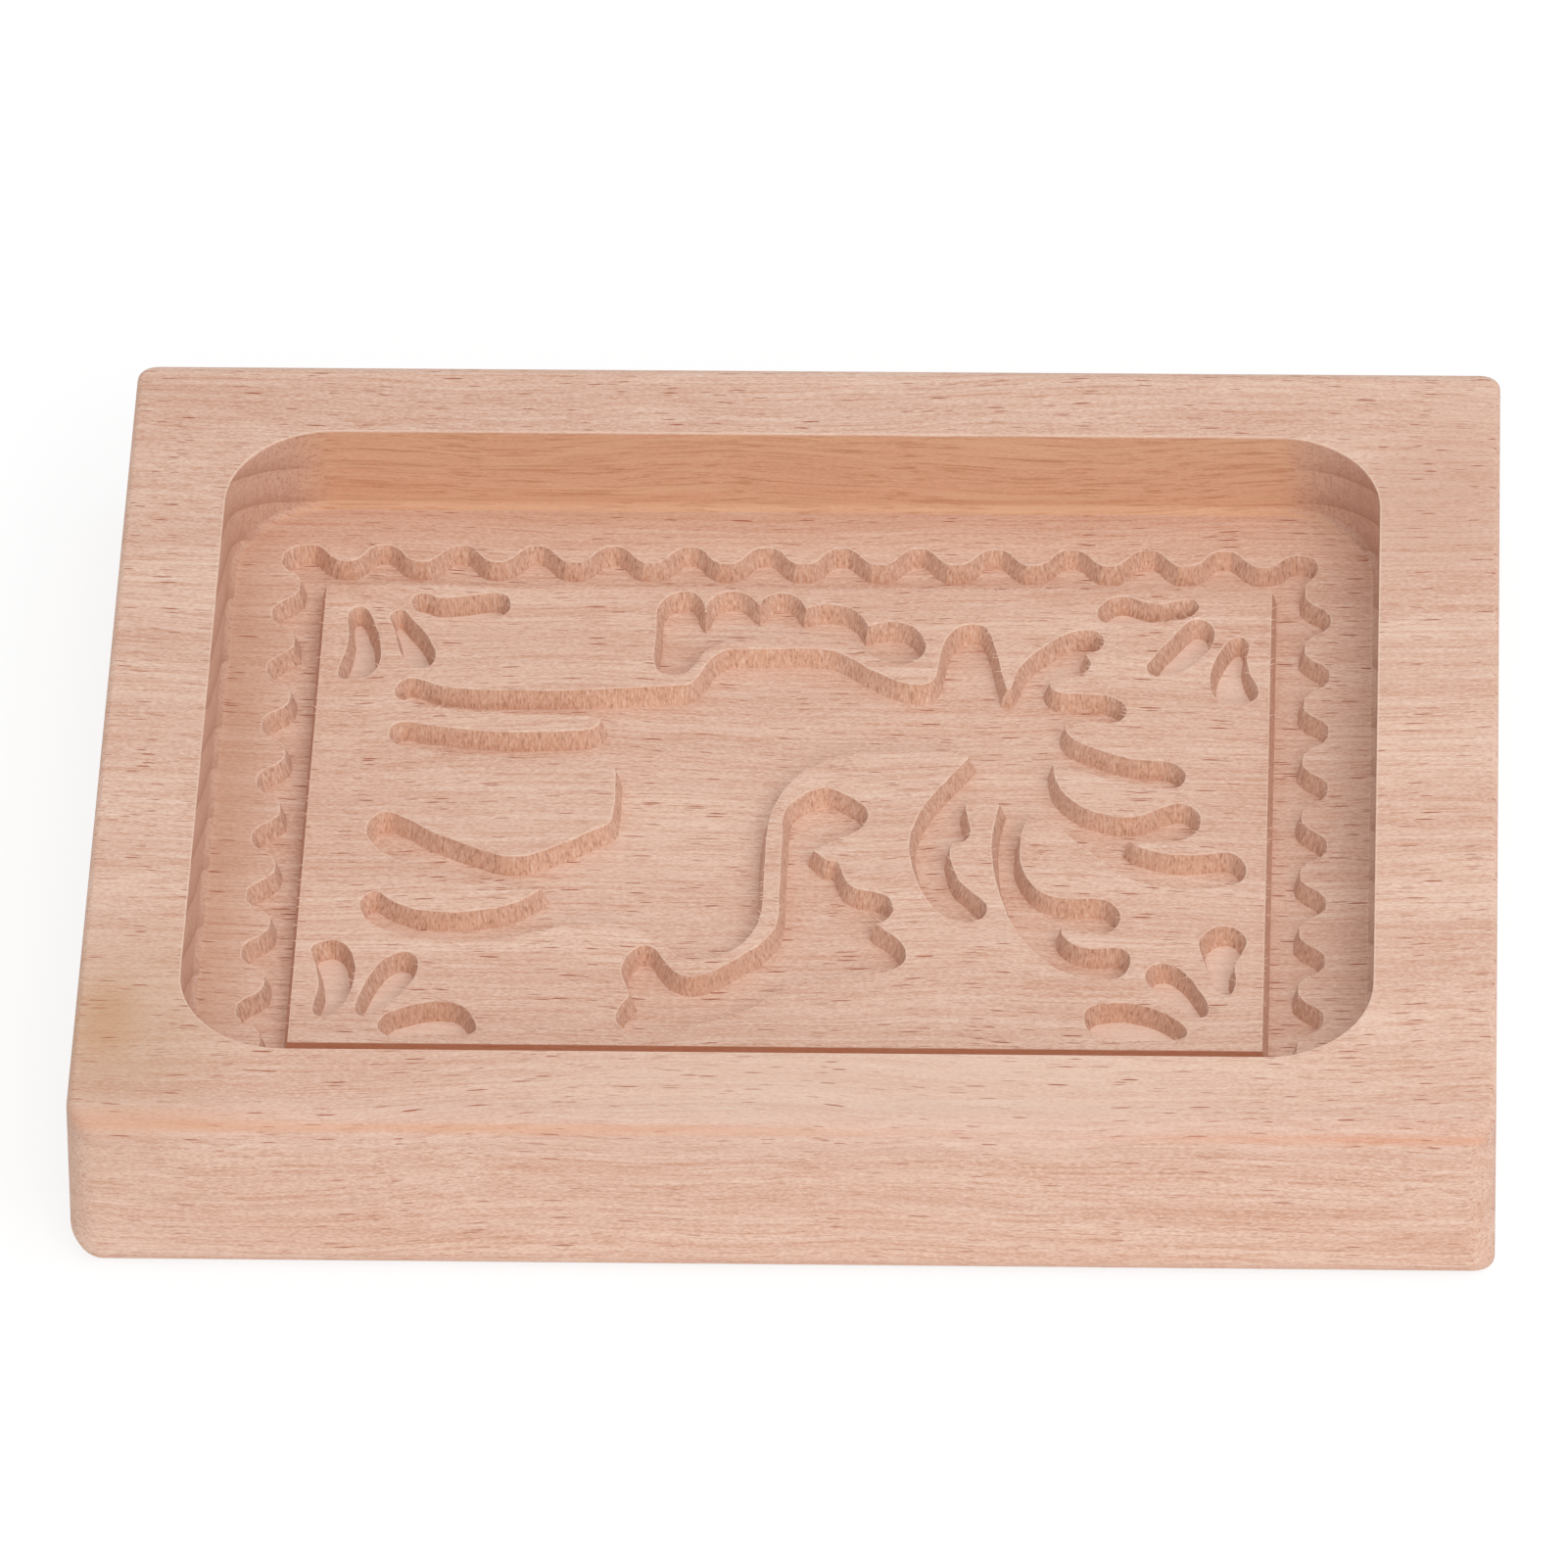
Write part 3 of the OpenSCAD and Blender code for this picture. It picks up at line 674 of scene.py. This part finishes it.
# the rays are cut at their narrow side on the front and back, and show a bit less there
sideways = add_node(wood, "ShaderNodeMath", {"operation": "ABSOLUTE"}, {0: facing.outputs["Y"]})
shows = add_node(wood, "ShaderNodeMapRange", {}, {
    "Value": sideways.outputs[0], "From Min": 0.2, "From Max": 0.9, "To Min": 1.0, "To Max": 0.60})
fleck = add_node(wood, "ShaderNodeMath", {"operation": "MULTIPLY"},
                 {0: either.outputs[0], 1: shows.outputs[0]})
colour = add_node(wood, "ShaderNodeMix", {"data_type": "RGBA"}, {
    0: fleck.outputs[0], 6: colour, 7: linear("#a0502f")}).outputs[2]
print("two sets of flecks")

# %% [markdown]
# Now the marks of the tools. A wall that was cut across the fibres is rough: it drinks more light and looks
# browner, with a fine speckle of torn fibres that stand up and down. The milled walls of the tray are
# smooth, a little orange along the grain and greyish pink where the fibres end. The floors of the leaves are
# pale and even, and painted light makes them paler still, the more they face up. The long near wall gets
# painted shade, a darker orange brown. The numbers stored on the faces say where each belongs, and the
# face's own direction says where fibres end: where it looks along X.

# %% Beech, part 5: marks of the tools, painted light and painted shade
marked = {name: add_node(wood, "ShaderNodeAttribute", {"attribute_name": name}).outputs["Fac"]
          for name in cuts}
fur_place = add_node(wood, "ShaderNodeVectorMath", {"operation": "DIVIDE"},
                     {0: in_mm.outputs[0], 1: (0.25, 0.25, 1.7)})
fur = add_node(wood, "ShaderNodeTexNoise", {}, {
    "Vector": fur_place.outputs[0], "Scale": 1.0, "Detail": 3.0, "Roughness": 0.7}).outputs["Fac"]
cut_across = add_node(wood, "ShaderNodeMix", {"data_type": "RGBA"}, {
    0: along_grain, 6: linear("#dfb093"), 7: linear("#d4aa94")}).outputs[2]
inner_end = add_node(wood, "ShaderNodeMapRange", {}, {
    "Value": along_grain, "From Min": 0.03, "From Max": 0.50}).outputs[0]
milled = add_node(wood, "ShaderNodeMix", {"data_type": "RGBA"}, {
    0: inner_end, 6: linear("#dda67c"), 7: linear("#cfaa9b")}).outputs[2]
# leaf floors: pinker wood and painted light; the long near wall: painted shade
tones = (("carved_wall", 0.85, cut_across), ("milled_wall", 0.56, milled),
         ("leaf_floor_painted_light", 0.40, linear("#ffe7d6")), ("near_wall_painted_shade", 0.76, linear("#b6714c")),
         ("burr", 0.44, linear("#f5dac6")))
for name, share, tint in tones:
    amount = add_node(wood, "ShaderNodeMath", {"operation": "MULTIPLY"}, {0: marked[name], 1: share})
    colour = add_node(wood, "ShaderNodeMix", {"data_type": "RGBA"}, {
        0: amount.outputs[0], 6: colour, 7: tint}).outputs[2]
inner_milled = add_node(wood, "ShaderNodeMath", {"operation": "MULTIPLY"},
                        {0: inner_end, 1: marked["milled_wall"]})
furry = add_node(wood, "ShaderNodeMath", {"operation": "MULTIPLY_ADD"}, {
    0: inner_milled.outputs[0], 1: 0.35, 2: marked["carved_wall"]})
# the fur of the carved walls: dark gaps between the fibres, and their pale tips;
# and the brown streaks that show along the smooth walls of the tray
for pattern, low, high, strong, tint, where in (
        (fur, 0.52, 0.70, 0.62, "#8d5d44", furry.outputs[0]),
        (fur, 0.48, 0.32, 0.55, "#f6dfcf", furry.outputs[0]),
        (ground_patterns["streaks"], 0.51, 0.68, 0.40, "#ab7149", marked["milled_wall"]),
        (ground_patterns["stripes"], 0.50, 0.34, 0.30, "#e3bb92", marked["milled_wall"])):
    strand = add_node(wood, "ShaderNodeMapRange", {}, {
        "Value": pattern, "From Min": low, "From Max": high, "To Max": strong})
    strand_here = add_node(wood, "ShaderNodeMath", {"operation": "MULTIPLY"},
                           {0: strand.outputs[0], 1: where})
    colour = add_node(wood, "ShaderNodeMix", {"data_type": "RGBA"}, {
        0: strand_here.outputs[0], 6: colour, 7: linear(tint)}).outputs[2]
print(len(tones), "tones, and fur on the cut walls")

# %% [markdown]
# Where the fibres end, on the end walls of the tray and on the two ends of
# the board, the wood drinks more light and its years show as slanting bands.
# The ends of the board are told by their direction alone, so the band keeps
# off their rounded edges, and off the walls of the carving.

# %% Beech, part 6: end grain
outer_end = add_node(wood, "ShaderNodeMapRange", {}, {
    "Value": along_grain, "From Min": 0.90, "From Max": 0.99, "To Max": 0.8})
carved = add_node(wood, "ShaderNodeMath", {"operation": "SUBTRACT"}, {0: 1.0, 1: marked["carved_wall"]})
outer_only = add_node(wood, "ShaderNodeMath", {"operation": "MULTIPLY"},
                      {0: outer_end.outputs[0], 1: carved.outputs[0]})
end_grain = add_node(wood, "ShaderNodeMath", {"operation": "MAXIMUM"},
                     {0: inner_milled.outputs[0], 1: outer_only.outputs[0]})
year_band = add_node(wood, "ShaderNodeMapRange", {}, {
    "Value": year_line.outputs[0], "To Min": 0.12, "To Max": 0.62})
end_amount = add_node(wood, "ShaderNodeMath", {"operation": "MULTIPLY"},
                      {0: end_grain.outputs[0], 1: year_band.outputs[0]})
colour = add_node(wood, "ShaderNodeMix", {"data_type": "RGBA"}, {
    0: end_amount.outputs[0], 6: colour, 7: linear("#a9775f")}).outputs[2]
print("end grain is darkened by 12 to 62 percent across each year")

# %% [markdown]
# Sanded, oiled or bare, wood has no gloss coat: its shine is broad and weak.
# A roughness of 0.6 and the 1.5 of plant fibre give that. The flecks and the
# fibres are hollows that a finger hardly feels, so the bump is a few
# hundredths of a millimetre. The fur of the carved walls stands higher.

# %% Beech, part 7: shine and touch
fur_rise, hollow = 3.0, 0.3                # the fur against the grain, the flecks against it
rough = add_node(wood, "ShaderNodeMapRange", {}, {
    "Value": ground_patterns["fibres"], "From Min": 0.3, "From Max": 0.7, "To Min": 0.56, "To Max": 0.68})
shallow_fleck = add_node(wood, "ShaderNodeMath", {"operation": "MULTIPLY"}, {0: fleck.outputs[0], 1: hollow})
grain_height = add_node(wood, "ShaderNodeMath", {"operation": "SUBTRACT"},
                        {0: ground_patterns["fibres"], 1: shallow_fleck.outputs[0]})
fur_height = add_node(wood, "ShaderNodeMath", {"operation": "MULTIPLY"},
                      {0: fur, 1: marked["carved_wall"]})
height = add_node(wood, "ShaderNodeMath", {"operation": "MULTIPLY_ADD"},
                  {0: fur_height.outputs[0], 1: fur_rise, 2: grain_height.outputs[0]})
bump = add_node(wood, "ShaderNodeBump", {}, {
    "Strength": 0.6, "Distance": mm(0.06), "Height": height.outputs[0]})
surface = add_node(wood, "ShaderNodeBsdfPrincipled", {}, {
    "Base Color": colour, "Roughness": rough.outputs[0], "IOR": 1.5, "Normal": bump.outputs[0]})
add_node(wood, "ShaderNodeOutputMaterial", {}, {"Surface": surface.outputs[0]})
mould.data.materials.clear()
mould.data.materials.append(beech)
print("the material has", len(wood.nodes), "nodes")

# %% [markdown]
# Where a cutter crosses the fibres, it tears a few instead of slicing them,
# and they stay behind as tiny pale splinters along the edges of the carving.
# They follow the edges, so Geometry Nodes suits them: the rims become curves,
# a point is set about every half millimetre, chance keeps two in five, and
# each gets a thin splinter. The fibres run along X, so the splinters point
# that way too, left or right, with a little swing and lift. Every splinter
# carries the number that tells the material to paint it pale.

# %% Torn fibres along the edges
def torn_fibres_tree():
    """A node tree that sets splinters along the edges of a mesh."""
    group = bpy.data.node_groups.new("torn fibres", "GeometryNodeTree")
    group.interface.new_socket("Geometry", in_out="INPUT", socket_type="NodeSocketGeometry")
    for name, kind in (("Spacing", "Float"), ("Share", "Float"), ("Length", "Float"),
                       ("Thickness", "Float"), ("Seed", "Int"), ("Wood", "Material")):
        group.interface.new_socket(name, in_out="INPUT", socket_type="NodeSocket" + kind)
    group.interface.new_socket("Geometry", in_out="OUTPUT", socket_type="NodeSocketGeometry")
    given = add_node(group, "NodeGroupInput").outputs
    curve = add_node(group, "GeometryNodeMeshToCurve", {}, {"Mesh": given["Geometry"]})
    points = add_node(group, "GeometryNodeResampleCurve", {"mode": "LENGTH"}, {
        "Curve": curve.outputs[0], "Length": given["Spacing"]})
    # a splinter stands on Z; tipping it by a quarter turn or less about Y lays it down
    chance = {}
    for shift, (use, low, high) in enumerate((("keep", 0, 1), ("flip", 0, 1), ("swing", -0.7, 0.7),
                                              ("tip", 1.05, 1.5), ("stretch", 0.4, 1.3))):
        seed = add_node(group, "ShaderNodeMath", {"operation": "ADD"}, {0: given["Seed"], 1: shift})
        chance[use] = add_node(group, "FunctionNodeRandomValue", {"data_type": "FLOAT"}, {
            2: low, 3: high, "Seed": seed.outputs[0]}).outputs[1]
    chosen = add_node(group, "FunctionNodeCompare", {"data_type": "FLOAT", "operation": "LESS_THAN"}, {
        "A": chance["keep"], "B": given["Share"]})
    flip = add_node(group, "ShaderNodeMath", {"operation": "ROUND"}, {0: chance["flip"]})
    yaw = add_node(group, "ShaderNodeMath", {"operation": "MULTIPLY_ADD"}, {
        0: flip.outputs[0], 1: math.pi, 2: chance["swing"]})
    turn = add_node(group, "ShaderNodeCombineXYZ", {}, {"Y": chance["tip"], "Z": yaw.outputs[0]})
    size = add_node(group, "ShaderNodeCombineXYZ", {}, {"X": 1.0, "Y": 1.0, "Z": chance["stretch"]})
    splinter = add_node(group, "GeometryNodeMeshCone", {}, {
        "Vertices": 4, "Radius Top": mm(0.008), "Radius Bottom": given["Thickness"],
        "Depth": given["Length"]})
    pale_splinter = add_node(group, "GeometryNodeStoreNamedAttribute", {
        "data_type": "FLOAT", "domain": "FACE"}, {
        "Geometry": splinter.outputs["Mesh"], "Name": "burr", "Value": 1.0})
    placed = add_node(group, "GeometryNodeInstanceOnPoints", {}, {
        "Points": points.outputs[0], "Selection": chosen.outputs[0],
        "Instance": pale_splinter.outputs[0], "Rotation": turn.outputs[0], "Scale": size.outputs[0]})
    real = add_node(group, "GeometryNodeRealizeInstances", {}, {"Geometry": placed.outputs[0]})
    clad = add_node(group, "GeometryNodeSetMaterial", {}, {
        "Geometry": real.outputs[0], "Material": given["Wood"]})
    add_node(group, "NodeGroupOutput", {}, {"Geometry": clad.outputs[0]})
    return group


rim_mesh = bpy.data.meshes.new("torn_fibres")
rim_mesh.from_pydata([mm(corners[i]) for ring in carving_rims for i in ring], links_round(carving_rims), [])
fibres = bpy.data.objects.new("torn_fibres", rim_mesh)
bpy.context.scene.collection.objects.link(fibres)
splinters = fibres.modifiers.new("splinters", "NODES")
splinters.node_group = torn_fibres_tree()
sockets = {item.name: item.identifier for item in splinters.node_group.interface.items_tree
           if item.in_out == "INPUT"}
for name, value in (("Spacing", mm(0.45)), ("Share", 0.42), ("Length", mm(0.75)),
                    ("Thickness", mm(0.06)), ("Seed", 11), ("Wood", beech)):
    splinters[sockets[name]] = value
finished_fibres = bpy.data.meshes.new_from_object(
    fibres.evaluated_get(bpy.context.evaluated_depsgraph_get()))
fibres.modifiers.clear()
fibres.data = finished_fibres
print(len(finished_fibres.polygons) // 6, "splinters with", len(finished_fibres.polygons), "faces together")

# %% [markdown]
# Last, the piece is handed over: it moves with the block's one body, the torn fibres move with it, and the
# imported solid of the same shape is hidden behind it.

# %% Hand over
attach(mould, "root")
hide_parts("mould")
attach(fibres, "root")
